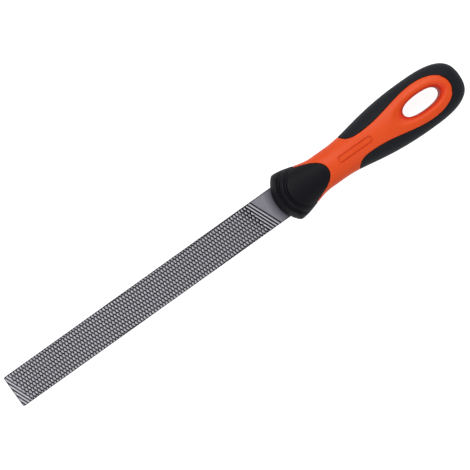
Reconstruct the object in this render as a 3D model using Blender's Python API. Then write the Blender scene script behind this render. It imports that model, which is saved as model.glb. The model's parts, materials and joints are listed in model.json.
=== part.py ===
"""A hand file: a flat, parallel steel blade with double-cut teeth, pushed by its tang into a
two-material handle. The handle is a hard core with a soft collar moulded over its front and a soft
horseshoe grip moulded round its tail, where a long hole lets the file hang on a hook.

Metres, +Z up. The file lies along X: the tip's end face is at x = 0 and the handle is towards +X.
The blade's faces look up and down, and the file's axis is y = z = 0.
"""

import math

import bmesh
import bpy
from mathutils import Matrix, Vector
from mathutils.geometry import interpolate_bezier

# Blade
BLADE_LENGTH = 0.200
BLADE_WIDTH = 0.020
BLADE_THICKNESS = 0.005
TIP_CORNER_RADIUS = 0.0010
TANG_LENGTH = 0.056
TANG_ROOT_WIDTH = 0.0110
TANG_END_WIDTH = 0.0045
TANG_END_THICKNESS = 0.0032
SHOULDER_LENGTH = 0.0035

# Teeth
CUT_LENGTH = 0.1809
CUT_ANGLE = math.radians(22.5)
ROW_PITCH = 0.00190
TOOTH_PITCH = 0.00240
TOOTH_DEPTH = 0.00060
TOOTH_LEAN = 0.22
CREST_BELOW_FACE = 0.00004
PLAIN_ROWS = 4
PLAIN_CUT_WIDTH = 0.0011

# Handle
HANDLE_LENGTH = 0.1309
HEEL_SEAT = 0.0123
COLLAR_WIDTH = 0.0310
COLLAR_THICKNESS = 0.0272
NECK_WIDTH = 0.0210
NECK_THICKNESS = 0.0196
SWELL_WIDTH = 0.0332
SWELL_THICKNESS = 0.0246
NOSE_LENGTH = 0.0080
NOSE_DOME = 0.0028
NECK_START = 0.0313
NECK_END = 0.0429
TAIL_LENGTH = 0.0316
TAIL_SQUARENESS = 2.7
SECTION_SQUARENESS = 2.25

# Collar
COLLAR_SKIN = 0.0024
COLLAR_SIDE_LENGTH = 0.0198
TONGUE_LENGTH = 0.0365
TONGUE_HALF_WIDTH = 0.0126
RIB_ARC_RADIUS = 0.0218
RIB_GROOVE_PLACES = (0.0047, 0.0086)
RIB_GROOVE_WIDTH = 0.0014
RIB_GROOVE_DEPTH = 0.0006
RIB_GROOVE_FADE = 1.01

# Tail: the hard tongue that shows between the arms of the grip, and the hanging hole
GRIP_START = 0.0510
GRIP_START_HALF_WIDTH = 0.0135
GRIP_START_DROP = 0.0050
WAIST_PLACE = 0.0630
WAIST_WIDTH = 0.0127
RING_TO_END = 0.0270
RING_WIDTH = 0.0238
GRIP_END_WALL = 0.0077
GRIP_SKIN = 0.0038
FLANGE_THICKNESS = 0.0060
HOLE_TO_END = 0.0279
HOLE_LENGTH = 0.0248
HOLE_WIDTH = 0.0107
HOLE_SQUARENESS = 2.3
DISH_LENGTH = 0.0390
DISH_WIDTH = 0.0170
DISH_DEPTH = 0.0030

# Clearances
MOULD_GAP = 0.0003
TANG_CLEARANCE = 0.0003

# Facets
AROUND = 32
NOSE_STEPS = 4
CURVE_STEPS = 8
CUTTER_REACH = 0.030

COLLAR_FRONT = BLADE_LENGTH - HEEL_SEAT
HANDLE_END = COLLAR_FRONT + HANDLE_LENGTH
TANG_END = BLADE_LENGTH + TANG_LENGTH


def clear_scene():
    for old in list(bpy.data.objects):
        bpy.data.objects.remove(old)


def add_collection(name):
    made = bpy.data.collections.new(name)
    bpy.context.scene.collection.children.link(made)
    return made


def make_material(name, colour, roughness, metallic):
    made = bpy.data.materials.new(name)
    made.use_nodes = True
    shader = made.node_tree.nodes["Principled BSDF"]
    shader.inputs["Base Color"].default_value = (*colour, 1.0)
    shader.inputs["Roughness"].default_value = roughness
    shader.inputs["Metallic"].default_value = metallic
    return made


def object_from(bm, name, collection):
    """A mesh object holding what was made in bm."""
    mesh = bpy.data.meshes.new(name)
    bm.to_mesh(mesh)
    bm.free()
    made = bpy.data.objects.new(name, mesh)
    collection.objects.link(made)
    return made


def as_cutter(made):
    made.hide_render = True
    made.display_type = "WIRE"
    return made


def boolean(target, operation, other):
    step = target.modifiers.new(f"{operation.lower()} {other.name}", "BOOLEAN")
    step.operation = operation
    step.object = other
    step.solver = "EXACT"


def smooth_step(share):
    return share * share * (3.0 - 2.0 * share)


def bezier(start, start_handle, end_handle, end, steps):
    """Points along one Bezier span, both ends included."""
    knots = [Vector((x, y, 0.0)) for x, y in (start, start_handle, end_handle, end)]
    return [(p.x, p.y) for p in interpolate_bezier(*knots, steps + 1)]


def superellipse_quarter(width, height, squareness, steps):
    """Points of a superellipse's quarter, from (0, height) round to (width, 0)."""
    quarter = []
    for step in range(steps + 1):
        angle = math.pi / 2 * (1.0 - step / steps)
        across = width * math.cos(angle) ** (2.0 / squareness) if step else 0.0
        up = height * math.sin(angle) ** (2.0 / squareness) if step < steps else 0.0
        quarter.append((across, up))
    return quarter


def mirrored_outline(half):
    """A closed outline from its half on the +Y side."""
    return half + [(x, -y) for x, y in reversed(half) if y > 1e-9]


def outline_prism(name, outline, low, high, collection):
    """A flat outline in plan, as a filled 2D curve made thick and turned into a mesh."""
    curve = bpy.data.curves.new(name, "CURVE")
    curve.dimensions = "2D"
    curve.fill_mode = "BOTH"
    curve.extrude = (high - low) / 2
    spline = curve.splines.new("POLY")
    spline.points.add(len(outline) - 1)
    for point, (x, y) in zip(spline.points, outline):
        point.co = (x, y, 0.0, 1.0)
    spline.use_cyclic_u = True
    drawn = bpy.data.objects.new(name + " outline", curve)
    drawn.location.z = (high + low) / 2
    collection.objects.link(drawn)
    bpy.context.view_layer.update()
    mesh = bpy.data.meshes.new_from_object(drawn.evaluated_get(bpy.context.evaluated_depsgraph_get()))
    bm = bmesh.new()
    bm.from_mesh(mesh)
    bmesh.ops.transform(bm, matrix=drawn.matrix_world, verts=bm.verts)
    bmesh.ops.remove_doubles(bm, verts=bm.verts, dist=1e-6)
    bmesh.ops.recalc_face_normals(bm, faces=bm.faces)
    bpy.data.objects.remove(drawn)
    return object_from(bm, name, collection)


def handle_stations():
    """The handle's outer form from nose to tail: (place along X, half width, half thickness)."""
    guard = COLLAR_WIDTH / 2
    corner = (COLLAR_FRONT + NOSE_DOME, BLADE_WIDTH / 2)
    brow = (COLLAR_FRONT + 0.84 * NOSE_LENGTH, 0.955 * guard)
    crest = (COLLAR_FRONT + NOSE_LENGTH, guard)
    slope = ((brow[0] - corner[0]) * 0.35, (brow[1] - corner[1]) * 0.35)
    nose = bezier(
        (COLLAR_FRONT, 0.0),
        (COLLAR_FRONT, corner[1] * 0.5),
        (corner[0] - slope[0], corner[1] - slope[1]),
        corner,
        NOSE_STEPS,
    )
    cheek = bezier(
        corner,
        (corner[0] + slope[0], corner[1] + slope[1]),
        (crest[0] - NOSE_LENGTH * 0.18, guard),
        crest,
        NOSE_STEPS,
    )
    neck_start, neck_end = COLLAR_FRONT + NECK_START, COLLAR_FRONT + NECK_END
    swell = HANDLE_END - TAIL_LENGTH
    flare = []
    for step in range(1, CURVE_STEPS + 1):
        share = step / CURVE_STEPS
        fall = (NECK_WIDTH / 2 - guard) * smooth_step(share)
        flare.append((crest[0] + (neck_start - crest[0]) * share, guard + fall))
    rise = bezier(
        (neck_end, NECK_WIDTH / 2),
        (neck_end + 0.25 * (swell - neck_end), NECK_WIDTH / 2),
        (swell - 0.55 * (swell - neck_end), SWELL_WIDTH / 2),
        (swell, SWELL_WIDTH / 2),
        CURVE_STEPS,
    )
    tail = superellipse_quarter(HANDLE_END - swell, SWELL_WIDTH / 2, TAIL_SQUARENESS, CURVE_STEPS)
    tail = [(swell + along, half) for along, half in tail[1:]]
    flatness = (
        (crest[0], COLLAR_THICKNESS / COLLAR_WIDTH),
        (neck_start, NECK_THICKNESS / NECK_WIDTH),
        (neck_end, NECK_THICKNESS / NECK_WIDTH),
        (swell, SWELL_THICKNESS / SWELL_WIDTH),
    )
    profile = nose + cheek[1:] + flare + rise + tail
    return [(x, half, half * between(flatness, x)) for x, half in profile]


def between(pairs, place):
    """A value that goes smoothly from one (place, value) pair to the next."""
    if place <= pairs[0][0]:
        return pairs[0][1]
    for (low, first), (high, second) in zip(pairs, pairs[1:]):
        if place <= high:
            return first + (second - first) * smooth_step((place - low) / (high - low))
    return pairs[-1][1]


def inset_stations(stations, inset):
    """The same form with its skin moved inwards by inset, without the folds of a tight bend."""
    moved = []
    last = len(stations) - 1
    for index, (x, half, thick) in enumerate(stations):
        before, after = stations[max(index - 1, 0)], stations[min(index + 1, last)]
        along, out = after[0] - before[0], after[1] - before[1]
        if index in (0, last):
            along, out = 0.0, 1.0 if index == 0 else -1.0
        length = math.hypot(along, out)
        drop = inset * along / length
        place = x + inset * out / length
        inner = max(half - drop, 0.0)
        nearest = min(math.hypot(place - other[0], inner - other[1]) for other in stations)
        if nearest > 0.97 * inset:
            moved.append((place, inner, max(thick - drop, 0.0)))
    return moved


def handle_form(name, stations, collection):
    """A sphere drawn out along X into the handle's form: each of its rings becomes one station. A
    facet, not an edge, lies at the top, at the bottom and at each side."""
    bm = bmesh.new()
    rings = len(stations) - 1
    power = 2.0 / SECTION_SQUARENESS
    turned = math.pi / AROUND
    flat = math.cos(turned) ** power
    bmesh.ops.create_uvsphere(bm, u_segments=AROUND, v_segments=rings, radius=1.0)
    for vert in bm.verts:
        ring = round(math.acos(max(-1.0, min(1.0, vert.co.z))) / math.pi * rings)
        x, half, thick = stations[rings - ring]
        turn = math.atan2(vert.co.y, vert.co.x) + turned
        across, up = math.cos(turn), math.sin(turn)
        vert.co = (
            x,
            math.copysign(abs(across) ** power, across) * half / flat,
            math.copysign(abs(up) ** power, up) * thick / flat,
        )
    if bm.calc_volume(signed=True) < 0.0:
        bmesh.ops.reverse_faces(bm, faces=bm.faces)
    return object_from(bm, name, collection)


def blank_outline(clearance):
    """The file blank in plan, blade and tang, grown by clearance."""
    half = BLADE_WIDTH / 2 + clearance
    root = TANG_ROOT_WIDTH / 2 + clearance
    shoulder = BLADE_LENGTH + clearance
    corner = []
    for step in range(4):
        angle = math.pi / 2 * step / 3
        back = TIP_CORNER_RADIUS * (1.0 - math.cos(angle))
        corner.append((back, half - TIP_CORNER_RADIUS * (1.0 - math.sin(angle))))
    arm = corner + [
        (shoulder, half),
        (shoulder + SHOULDER_LENGTH, root),
        (TANG_END + clearance, TANG_END_WIDTH / 2 + clearance),
    ]
    return mirrored_outline(arm)


def file_blank(name, clearance, collection):
    """The blank in the round: a constant blade and a tang that also thins towards its end."""
    half = BLADE_THICKNESS / 2 + clearance
    flat = outline_prism(name + " plate", blank_outline(clearance), -half, half, collection)
    bm = bmesh.new()
    bm.from_mesh(flat.data)
    bpy.data.objects.remove(flat)
    heel = BLADE_LENGTH + clearance
    for place in (heel, heel + SHOULDER_LENGTH):
        everything = bm.verts[:] + bm.edges[:] + bm.faces[:]
        bmesh.ops.bisect_plane(bm, geom=everything, plane_co=(place, 0, 0), plane_no=(1, 0, 0))
    end_share = (TANG_END_THICKNESS / 2 + clearance) / half
    for vert in bm.verts:
        if vert.co.x > TANG_END - TANG_LENGTH / 2:
            vert.co.z *= end_share
    return object_from(bm, name, collection)


def tooth_die(name, side, collection):
    """The negative of one toothed face: a sheared grid whose every cell is poked into a leaning
    pyramid, closed by a flat back. Side is +1 for the upper face and -1 for the lower one, which
    is the upper one turned over about the file's axis."""
    face = BLADE_THICKNESS / 2
    shear_run = BLADE_WIDTH * math.tan(CUT_ANGLE)
    rows = math.ceil((CUT_LENGTH + shear_run) / ROW_PITCH)
    columns = math.ceil(BLADE_WIDTH / TOOTH_PITCH) + 1
    last_row = CUT_LENGTH - PLAIN_ROWS * ROW_PITCH
    bm = bmesh.new()
    bmesh.ops.create_grid(bm, x_segments=rows, y_segments=columns, size=0.5)
    poked = bmesh.ops.poke(bm, faces=bm.faces)
    crests = set(poked["verts"])
    lean = TOOTH_LEAN / rows
    for vert in bm.verts:
        row = (vert.co.x - (lean if vert in crests else 0.0) - 0.5) * rows
        y = vert.co.y * columns * TOOTH_PITCH
        x = last_row + row * ROW_PITCH - y * math.tan(CUT_ANGLE)
        z = face - (CREST_BELOW_FACE if vert in crests else TOOTH_DEPTH)
        vert.co = (x, y, z)
    back = bmesh.ops.extrude_face_region(bm, geom=bm.faces[:])
    for item in back["geom"]:
        if isinstance(item, bmesh.types.BMVert):
            item.co.z = face + CUTTER_REACH
    bmesh.ops.recalc_face_normals(bm, faces=bm.faces)
    if side < 0:
        bmesh.ops.rotate(bm, verts=bm.verts, cent=(0, 0, 0), matrix=Matrix.Rotation(math.pi, 3, "X"))
    return object_from(bm, name, collection)


def plain_cuts(name, side, collection):
    """The last rows next to the heel, which only one cut crosses: three-sided bars laid across."""
    bm = bmesh.new()
    length = 2 * BLADE_WIDTH
    rise = Matrix.Rotation(math.pi / 2, 4, "X")
    for row in range(PLAIN_ROWS):
        bar = bmesh.ops.create_cone(
            bm, cap_ends=True, segments=4, radius1=1.0, radius2=1.0, depth=length, matrix=rise
        )
        scale = Vector((PLAIN_CUT_WIDTH / 2, 1.0, TOOTH_DEPTH))
        bmesh.ops.scale(bm, vec=scale, verts=bar["verts"])
        turn = Matrix.Rotation(CUT_ANGLE, 3, "Z")
        bmesh.ops.rotate(bm, cent=(0, 0, 0), matrix=turn, verts=bar["verts"])
        place = CUT_LENGTH - (row + 0.5) * ROW_PITCH
        bmesh.ops.translate(bm, vec=(place, 0, BLADE_THICKNESS / 2), verts=bar["verts"])
    if side < 0:
        bmesh.ops.rotate(bm, verts=bm.verts, cent=(0, 0, 0), matrix=Matrix.Rotation(math.pi, 3, "X"))
    return object_from(bm, name, collection)


def collar_outline(gap):
    """Where the collar lies in plan: all of the nose, then a tongue that ends round."""
    side = COLLAR_FRONT + COLLAR_SIDE_LENGTH + gap
    end = COLLAR_FRONT + TONGUE_LENGTH + gap
    half = TONGUE_HALF_WIDTH + gap
    run = end - side
    lean = (side + 0.42 * run, 0.79 * half)
    tongue = bezier((side, half), lean, (end, 0.51 * half), (end, 0.0), CURVE_STEPS)
    front = COLLAR_FRONT - CUTTER_REACH
    return mirrored_outline([(front, CUTTER_REACH), (side, CUTTER_REACH)] + tongue)


def hard_tail_outline(gap):
    """Where the hard core shows in plan behind the neck: full width, a waist, then the ring."""
    start = (COLLAR_FRONT + GRIP_START, GRIP_START_HALF_WIDTH + gap)
    waist = (COLLAR_FRONT + WAIST_PLACE, WAIST_WIDTH / 2 + gap)
    ring = (HANDLE_END - RING_TO_END, RING_WIDTH / 2 + gap)
    end = HANDLE_END - GRIP_END_WALL + gap
    dip = waist[0] - start[0]
    climb = ring[0] - waist[0]
    bow = end - ring[0]
    plunge = (start[0] + 0.16 * dip, start[1] - GRIP_START_DROP)
    entry = bezier(start, plunge, (waist[0] - 0.62 * dip, waist[1]), waist, CURVE_STEPS)
    flank = bezier(
        waist, (waist[0] + 0.36 * climb, waist[1]), (ring[0] - 0.36 * climb, ring[1]), ring, CURVE_STEPS
    )
    cap = [(ring[0] + x, y) for x, y in superellipse_quarter(bow, ring[1], 2.12, CURVE_STEPS)]
    front = COLLAR_FRONT - CUTTER_REACH
    return mirrored_outline([(front, CUTTER_REACH), (start[0], CUTTER_REACH)] + entry + flank[1:] + cap[1:])


def hard_tail(name, stations, gap, collection):
    """The hard core's own space behind the neck: what shows from above and below, and a flange at
    half height that the soft grip closes round. The gap grows it for the grip's seat."""
    shown = outline_prism(name, hard_tail_outline(gap), -CUTTER_REACH, CUTTER_REACH, collection)
    flange = handle_form(name + " flange", inset_stations(stations, GRIP_SKIN - gap), collection)
    thick = FLANGE_THICKNESS / 2 + gap
    reach = HANDLE_END + CUTTER_REACH
    sheet = [(-CUTTER_REACH, CUTTER_REACH), (reach, CUTTER_REACH)]
    slab = outline_prism(name + " flange slab", mirrored_outline(sheet), -thick, thick, collection)
    boolean(flange, "INTERSECT", as_cutter(slab))
    boolean(shown, "UNION", as_cutter(flange))
    return as_cutter(shown)


def hole_outline():
    centre = HANDLE_END - HOLE_TO_END
    quarter = superellipse_quarter(HOLE_LENGTH / 2, HOLE_WIDTH / 2, HOLE_SQUARENESS, 6)
    half = [(-x, y) for x, y in reversed(quarter)] + quarter[1:]
    return mirrored_outline([(centre + x, y) for x, y in half])


def rib_grooves(name, stations, collection):
    """Two curved grooves across the collar that follow its rounded front: half rings seen in plan,
    of which only what lies outside a flatter and wider form cuts, so they fade out at the sides."""
    centre = COLLAR_FRONT + RIB_ARC_RADIUS
    outline_steps = CURVE_STEPS + 4
    reach = CUTTER_REACH
    grooves = []
    flatter = 1.0 - RIB_GROOVE_DEPTH / (COLLAR_THICKNESS / 2)
    floor_stations = [(x, half * RIB_GROOVE_FADE, thick * flatter) for x, half, thick in stations]
    skin = as_cutter(handle_form(name + " depth", floor_stations, collection))
    for number, place in enumerate(RIB_GROOVE_PLACES):
        outer = RIB_ARC_RADIUS - place + RIB_GROOVE_WIDTH / 2
        inner = outer - RIB_GROOVE_WIDTH
        arc = []
        for radius, order in ((outer, 1), (inner, -1)):
            angles = [math.pi / 2 + math.pi * step / outline_steps for step in range(outline_steps + 1)]
            arc += [(centre + radius * math.cos(a), radius * math.sin(a)) for a in angles[::order]]
        groove = as_cutter(outline_prism(f"{name} {number}", arc, -reach, reach, collection))
        boolean(groove, "DIFFERENCE", skin)
        grooves.append(groove)
    return grooves


def dish(name, stations, side, collection):
    """A flat ball that sinks the handle's face round the hanging hole."""
    centre = HANDLE_END - HOLE_TO_END
    surface = min(stations, key=lambda station: abs(station[0] - centre))[2]
    segments = 28
    bm = bmesh.new()
    bmesh.ops.create_uvsphere(bm, u_segments=segments, v_segments=16, radius=1.0)
    off_axis = Matrix.Rotation(math.pi / segments, 3, "Z")
    bmesh.ops.rotate(bm, cent=(0, 0, 0), matrix=off_axis, verts=bm.verts)
    bmesh.ops.scale(bm, vec=(DISH_LENGTH / 2, DISH_WIDTH / 2, DISH_DEPTH), verts=bm.verts)
    bmesh.ops.translate(bm, vec=(centre, 0.0, side * surface), verts=bm.verts)
    return as_cutter(object_from(bm, name, collection))


def finish(made, material):
    made.data.materials.append(material)
    made.data.shade_smooth()
    made.data.set_sharp_from_angle(angle=math.radians(35))


def build():
    clear_scene()
    parts = add_collection("hand_file")
    cutters = add_collection("cutters")
    steel = make_material("hardened_steel", (0.23, 0.225, 0.24), 0.38, 1.0)
    hard = make_material("orange_polypropylene", (0.86, 0.10, 0.026), 0.42, 0.0)
    soft = make_material("black_elastomer", (0.014, 0.014, 0.016), 0.62, 0.0)

    stations = handle_stations()
    reach = CUTTER_REACH
    socket = as_cutter(file_blank("socket", TANG_CLEARANCE, cutters))

    blade = file_blank("file_blade", 0.0, parts)
    for side, name in ((1, "upper"), (-1, "lower")):
        boolean(blade, "DIFFERENCE", as_cutter(tooth_die(f"{name} tooth die", side, cutters)))
        boolean(blade, "DIFFERENCE", as_cutter(plain_cuts(f"{name} plain cuts", side, cutters)))
    blade.data.materials.append(steel)

    collar_zone = as_cutter(outline_prism("collar zone", collar_outline(0.0), -reach, reach, cutters))
    under_collar = as_cutter(handle_form("under collar", inset_stations(stations, COLLAR_SKIN), cutters))
    collar = handle_form("front_collar", stations, parts)
    for groove in rib_grooves("rib groove", stations, cutters):
        boolean(collar, "DIFFERENCE", groove)
    boolean(collar, "INTERSECT", collar_zone)
    boolean(collar, "DIFFERENCE", under_collar)
    boolean(collar, "DIFFERENCE", socket)
    finish(collar, soft)

    spigot_stations = inset_stations(stations, COLLAR_SKIN + MOULD_GAP)
    spigot = as_cutter(handle_form("core under collar", spigot_stations, cutters))
    collar_seat = as_cutter(outline_prism("collar seat", collar_outline(MOULD_GAP), -reach, reach, cutters))
    boolean(collar_seat, "DIFFERENCE", spigot)
    tail = hard_tail("hard tail", stations, 0.0, cutters)
    hole = as_cutter(outline_prism("hanging hole", hole_outline(), -reach, reach, cutters))
    core = handle_form("handle_core", stations, parts)
    boolean(core, "INTERSECT", tail)
    boolean(core, "DIFFERENCE", collar_seat)
    boolean(core, "DIFFERENCE", socket)
    boolean(core, "DIFFERENCE", hole)
    for side, name in ((1, "upper dish"), (-1, "lower dish")):
        boolean(core, "DIFFERENCE", dish(name, stations, side, cutters))
    finish(core, hard)

    grip_seat = hard_tail("grip seat", stations, MOULD_GAP, cutters)
    grip = handle_form("tail_grip", stations, parts)
    boolean(grip, "DIFFERENCE", grip_seat)
    finish(grip, soft)


build()
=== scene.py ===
# %% [markdown]
# # A flat hand file, dressed around its CAD frame
#
# The real tool is one steel forging, toothed on both faces, whose tang is pushed into a handle of two
# plastics: a hard orange core with a soft black collar moulded over its front and a soft black
# horseshoe moulded round its tail. Each of these four pieces is modelled again here at a finer grain
# than the CAD solids, and each one stands in for its CAD solid.

# %% Load the frame
import json
import math

import bpy
from mathutils import Matrix, Vector
from mathutils.geometry import interpolate_bezier

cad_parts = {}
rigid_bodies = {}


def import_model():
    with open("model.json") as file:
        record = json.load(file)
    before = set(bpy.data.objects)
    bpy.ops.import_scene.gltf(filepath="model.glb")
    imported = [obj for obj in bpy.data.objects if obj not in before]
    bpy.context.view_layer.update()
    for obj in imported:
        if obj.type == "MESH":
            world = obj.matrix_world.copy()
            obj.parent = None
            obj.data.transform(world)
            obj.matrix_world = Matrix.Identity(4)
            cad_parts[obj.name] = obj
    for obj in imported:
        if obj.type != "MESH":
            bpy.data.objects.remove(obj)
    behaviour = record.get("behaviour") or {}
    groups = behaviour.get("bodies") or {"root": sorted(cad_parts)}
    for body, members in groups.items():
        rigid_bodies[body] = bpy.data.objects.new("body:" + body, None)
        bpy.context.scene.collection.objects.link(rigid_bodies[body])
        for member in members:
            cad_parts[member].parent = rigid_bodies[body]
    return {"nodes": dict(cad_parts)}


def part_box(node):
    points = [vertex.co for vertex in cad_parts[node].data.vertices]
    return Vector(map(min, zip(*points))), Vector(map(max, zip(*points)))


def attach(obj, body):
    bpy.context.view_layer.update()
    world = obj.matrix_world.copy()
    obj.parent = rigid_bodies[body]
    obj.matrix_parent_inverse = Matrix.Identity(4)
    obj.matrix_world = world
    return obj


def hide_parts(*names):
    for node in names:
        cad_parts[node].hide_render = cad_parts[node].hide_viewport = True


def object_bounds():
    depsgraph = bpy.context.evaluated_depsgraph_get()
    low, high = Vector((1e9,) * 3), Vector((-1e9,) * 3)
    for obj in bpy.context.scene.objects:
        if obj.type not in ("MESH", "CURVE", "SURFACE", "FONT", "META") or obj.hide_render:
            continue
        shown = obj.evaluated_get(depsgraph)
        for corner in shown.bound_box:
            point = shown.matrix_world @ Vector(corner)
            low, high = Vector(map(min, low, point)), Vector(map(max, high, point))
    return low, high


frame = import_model()
cad_low, cad_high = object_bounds()
MM = 0.001
print("frame nodes:", sorted(frame["nodes"]), "length", round((cad_high.x - cad_low.x) / MM, 1), "mm")

# %% [markdown]
# ## Working by operators
#
# Every operator acts on what is selected, and the frame arrives selected. So one helper clears the
# selection and makes a single object active, and the others build on it: one adds a primitive, one
# applies a modifier, one makes a Boolean cut, one opens a mesh for editing with only the wanted
# vertices picked out, and one rounds upright corners. All sizes are in millimetres, and are turned into
# metres by MM where they reach Blender.


# %% Helpers for operators
def pick(thing):
    """Only this object is selected and active."""
    if bpy.context.object and bpy.context.object.mode != "OBJECT":
        bpy.ops.object.mode_set(mode="OBJECT")
    bpy.ops.object.select_all(action="DESELECT")
    thing.select_set(True)
    bpy.context.view_layer.objects.active = thing
    return thing


def begin(name, operator, **settings):
    """Adds an object by its operator, with nothing else selected, and names it."""
    bpy.ops.object.select_all(action="DESELECT")
    operator(**settings)
    made = bpy.context.object
    made.name = made.data.name = name
    return made


def modify(thing, kind, **settings):
    """Adds one modifier with its settings and applies it."""
    pick(thing)
    step = thing.modifiers.new(kind.title(), kind)
    for name, value in settings.items():
        setattr(step, name, value)
    bpy.ops.object.modifier_apply(modifier=step.name)


def cut(thing, operation, other):
    modify(thing, "BOOLEAN", operation=operation, object=other, solver="EXACT")


def copy_of(thing, name):
    """A copy with its own mesh."""
    made = thing.copy()
    made.data = thing.data.copy()
    made.name = made.data.name = name
    bpy.context.collection.objects.link(made)
    return made


def discard(*things):
    for thing in things:
        bpy.data.objects.remove(thing)


print("helpers for operators ready")


# %% Helpers for edit mode
def edit(thing, wanted=None, mode="VERT"):
    """Opens a mesh for editing, with the vertices picked out for which wanted(place) is true."""
    pick(thing)
    bpy.ops.object.mode_set(mode="EDIT")
    bpy.ops.mesh.select_mode(type="VERT")
    bpy.ops.mesh.select_all(action="DESELECT")
    bpy.ops.object.mode_set(mode="OBJECT")
    for vertex in thing.data.vertices:
        vertex.select = wanted is None or wanted(vertex.co)
    bpy.ops.object.mode_set(mode="EDIT")
    bpy.ops.mesh.select_mode(type=mode)


def pull(along=0.0, up=0.0):
    """Extrudes what is picked out, by metres along X and Z."""
    bpy.ops.mesh.extrude_region_move(TRANSFORM_OT_translate={"value": (along, 0, up)})


def face_outwards(thing):
    edit(thing)
    bpy.ops.mesh.normals_make_consistent(inside=False)
    bpy.ops.object.mode_set(mode="OBJECT")


def round_upright(thing, radius, segments, wanted=lambda place: True):
    """Bevels the upright edges that stand where wanted(place) is true."""
    edit(thing)
    bpy.ops.mesh.select_mode(type="EDGE")
    bpy.ops.mesh.select_all(action="DESELECT")
    bpy.ops.object.mode_set(mode="OBJECT")
    for edge in thing.data.edges:
        low, high = (thing.data.vertices[index].co for index in edge.vertices)
        edge.select = (high - low).xy.length < MM and wanted(low)
    bpy.ops.object.mode_set(mode="EDIT")
    bpy.ops.mesh.bevel(offset=radius * MM, segments=segments)
    bpy.ops.object.mode_set(mode="OBJECT")


def measured(thing):
    """The size of a piece and its number of triangles, for printing."""
    count = sum(len(face.vertices) - 2 for face in thing.data.polygons)
    return [round(side / MM, 2) for side in thing.dimensions], count, "triangles"


print("helpers for edit mode ready")

# %% [markdown]
# ## The handle's form
#
# Seen from above, the handle is a domed nose, a cheek at about 45 degrees, a guard that keeps the hand
# off the blade, a flare down to the neck, a long swell for the palm and a blunt round tail. The form
# could be sculpted, but a drawn profile is easier to check against a photograph. It is drawn here as
# (place along the file, half width), measured from the file's tip, in spans of curve. The reaches are
# how far a span's handles go from its ends, some of them as shares of the span.

# %% Curves
MARGIN_OF_FOLDS = 0.97


def span(start, start_handle, end_handle, end, steps):
    """Points of one Bezier span, without its first point."""
    knots = [Vector((x, y, 0.0)) for x, y in (start, start_handle, end_handle, end)]
    return [(point.x, point.y) for point in interpolate_bezier(*knots, steps + 1)][1:]


def quarter(centre, length, half, squareness, steps):
    """From the top of a rounded end forwards to its point on the axis."""
    made = []
    for step in range(steps + 1):
        angle = math.pi / 2 * step / steps
        along = math.sin(angle) ** (2 / squareness)
        made.append((centre + length * along, half * max(math.cos(angle), 0.0) ** (2 / squareness)))
    made[-1] = (centre + length, 0.0)
    return made


def ease(share):
    return share * share * (3.0 - 2.0 * share)


def between(pairs, place):
    """A value that goes smoothly from one (place, value) pair to the next."""
    if place <= pairs[0][0]:
        return pairs[0][1]
    for (low, first), (high, second) in zip(pairs, pairs[1:]):
        if place <= high:
            return first + (second - first) * ease((place - low) / (high - low))
    return pairs[-1][1]


def inset(line, depth):
    """The profile moved inwards along its own normals, without the folds of tight bends."""
    moved = []
    for index, (x, half) in enumerate(line):
        before, after = line[max(index - 1, 0)], line[min(index + 1, len(line) - 1)]
        run, rise = after[0] - before[0], after[1] - before[1]
        if index in (0, len(line) - 1):
            run, rise = 0.0, 1.0 if index == 0 else -1.0
        length = math.hypot(run, rise)
        point = x + depth * rise / length, max(half - depth * run / length, 0.0)
        if min(math.dist(point, other) for other in line) > MARGIN_OF_FOLDS * depth:
            moved.append(point)
    return moved


print("curve helpers ready")

# %% The handle's profile
NOSE, CORNER, GUARD = (187.7, 0.0), (190.5, 10.0), (195.7, 15.6)
NOSE_REACH, CORNER_REACH, GUARD_REACH = 5.0, (1.372, 1.7143), 1.37
NECK_START, NECK_STOPS, NECK_END = (219.8, 10.7), (222.9, 226.8), (230.6, 10.7)
SWELL, TAIL = (287.0, 16.6), (318.6, 0.0)
NECK_REACH, SWELL_REACH, TAIL_SQUARENESS = 0.25, 0.55, 2.85
NOSE_STEPS, CHEEK_STEPS, FLARE_STEPS, SWELL_STEPS, TAIL_STEPS = 6, 8, 12, 14, 14
GUARD_THICKNESS, NECK_THICKNESS, SWELL_THICKNESS = 27.2, 19.6, 24.6
FLATNESS = (
    (GUARD[0], GUARD_THICKNESS / 2 / GUARD[1]),
    (NECK_START[0], NECK_THICKNESS / 2 / NECK_START[1]),
    (NECK_END[0], NECK_THICKNESS / 2 / NECK_END[1]),
    (SWELL[0], SWELL_THICKNESS / 2 / SWELL[1]),
)


def flatness(place):
    """How thick the handle is for its width, at a place along it."""
    return between(FLATNESS, place)


def handle_profile():
    before_corner = CORNER[0] - CORNER_REACH[0], CORNER[1] - CORNER_REACH[1]
    after_corner = CORNER[0] + CORNER_REACH[0], CORNER[1] + CORNER_REACH[1]
    before_guard = GUARD[0] - GUARD_REACH, GUARD[1]
    line = [NOSE]
    line += span(NOSE, (NOSE[0], NOSE_REACH), before_corner, CORNER, NOSE_STEPS)
    line += span(CORNER, after_corner, before_guard, GUARD, CHEEK_STEPS)
    for step in range(1, FLARE_STEPS + 1):
        share = step / FLARE_STEPS
        drop = (NECK_START[1] - GUARD[1]) * ease(share)
        line.append((GUARD[0] + (NECK_START[0] - GUARD[0]) * share, GUARD[1] + drop))
    line += [(place, NECK_END[1]) for place in NECK_STOPS] + [NECK_END]
    length = SWELL[0] - NECK_END[0]
    after_neck = NECK_END[0] + NECK_REACH * length, NECK_END[1]
    before_swell = SWELL[0] - SWELL_REACH * length, SWELL[1]
    line += span(NECK_END, after_neck, before_swell, SWELL, SWELL_STEPS)
    return line + quarter(SWELL[0], TAIL[0] - SWELL[0], SWELL[1], TAIL_SQUARENESS, TAIL_STEPS)[1:]


outer_profile = handle_profile()
print("handle profile:", len(outer_profile), "stations")

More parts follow.
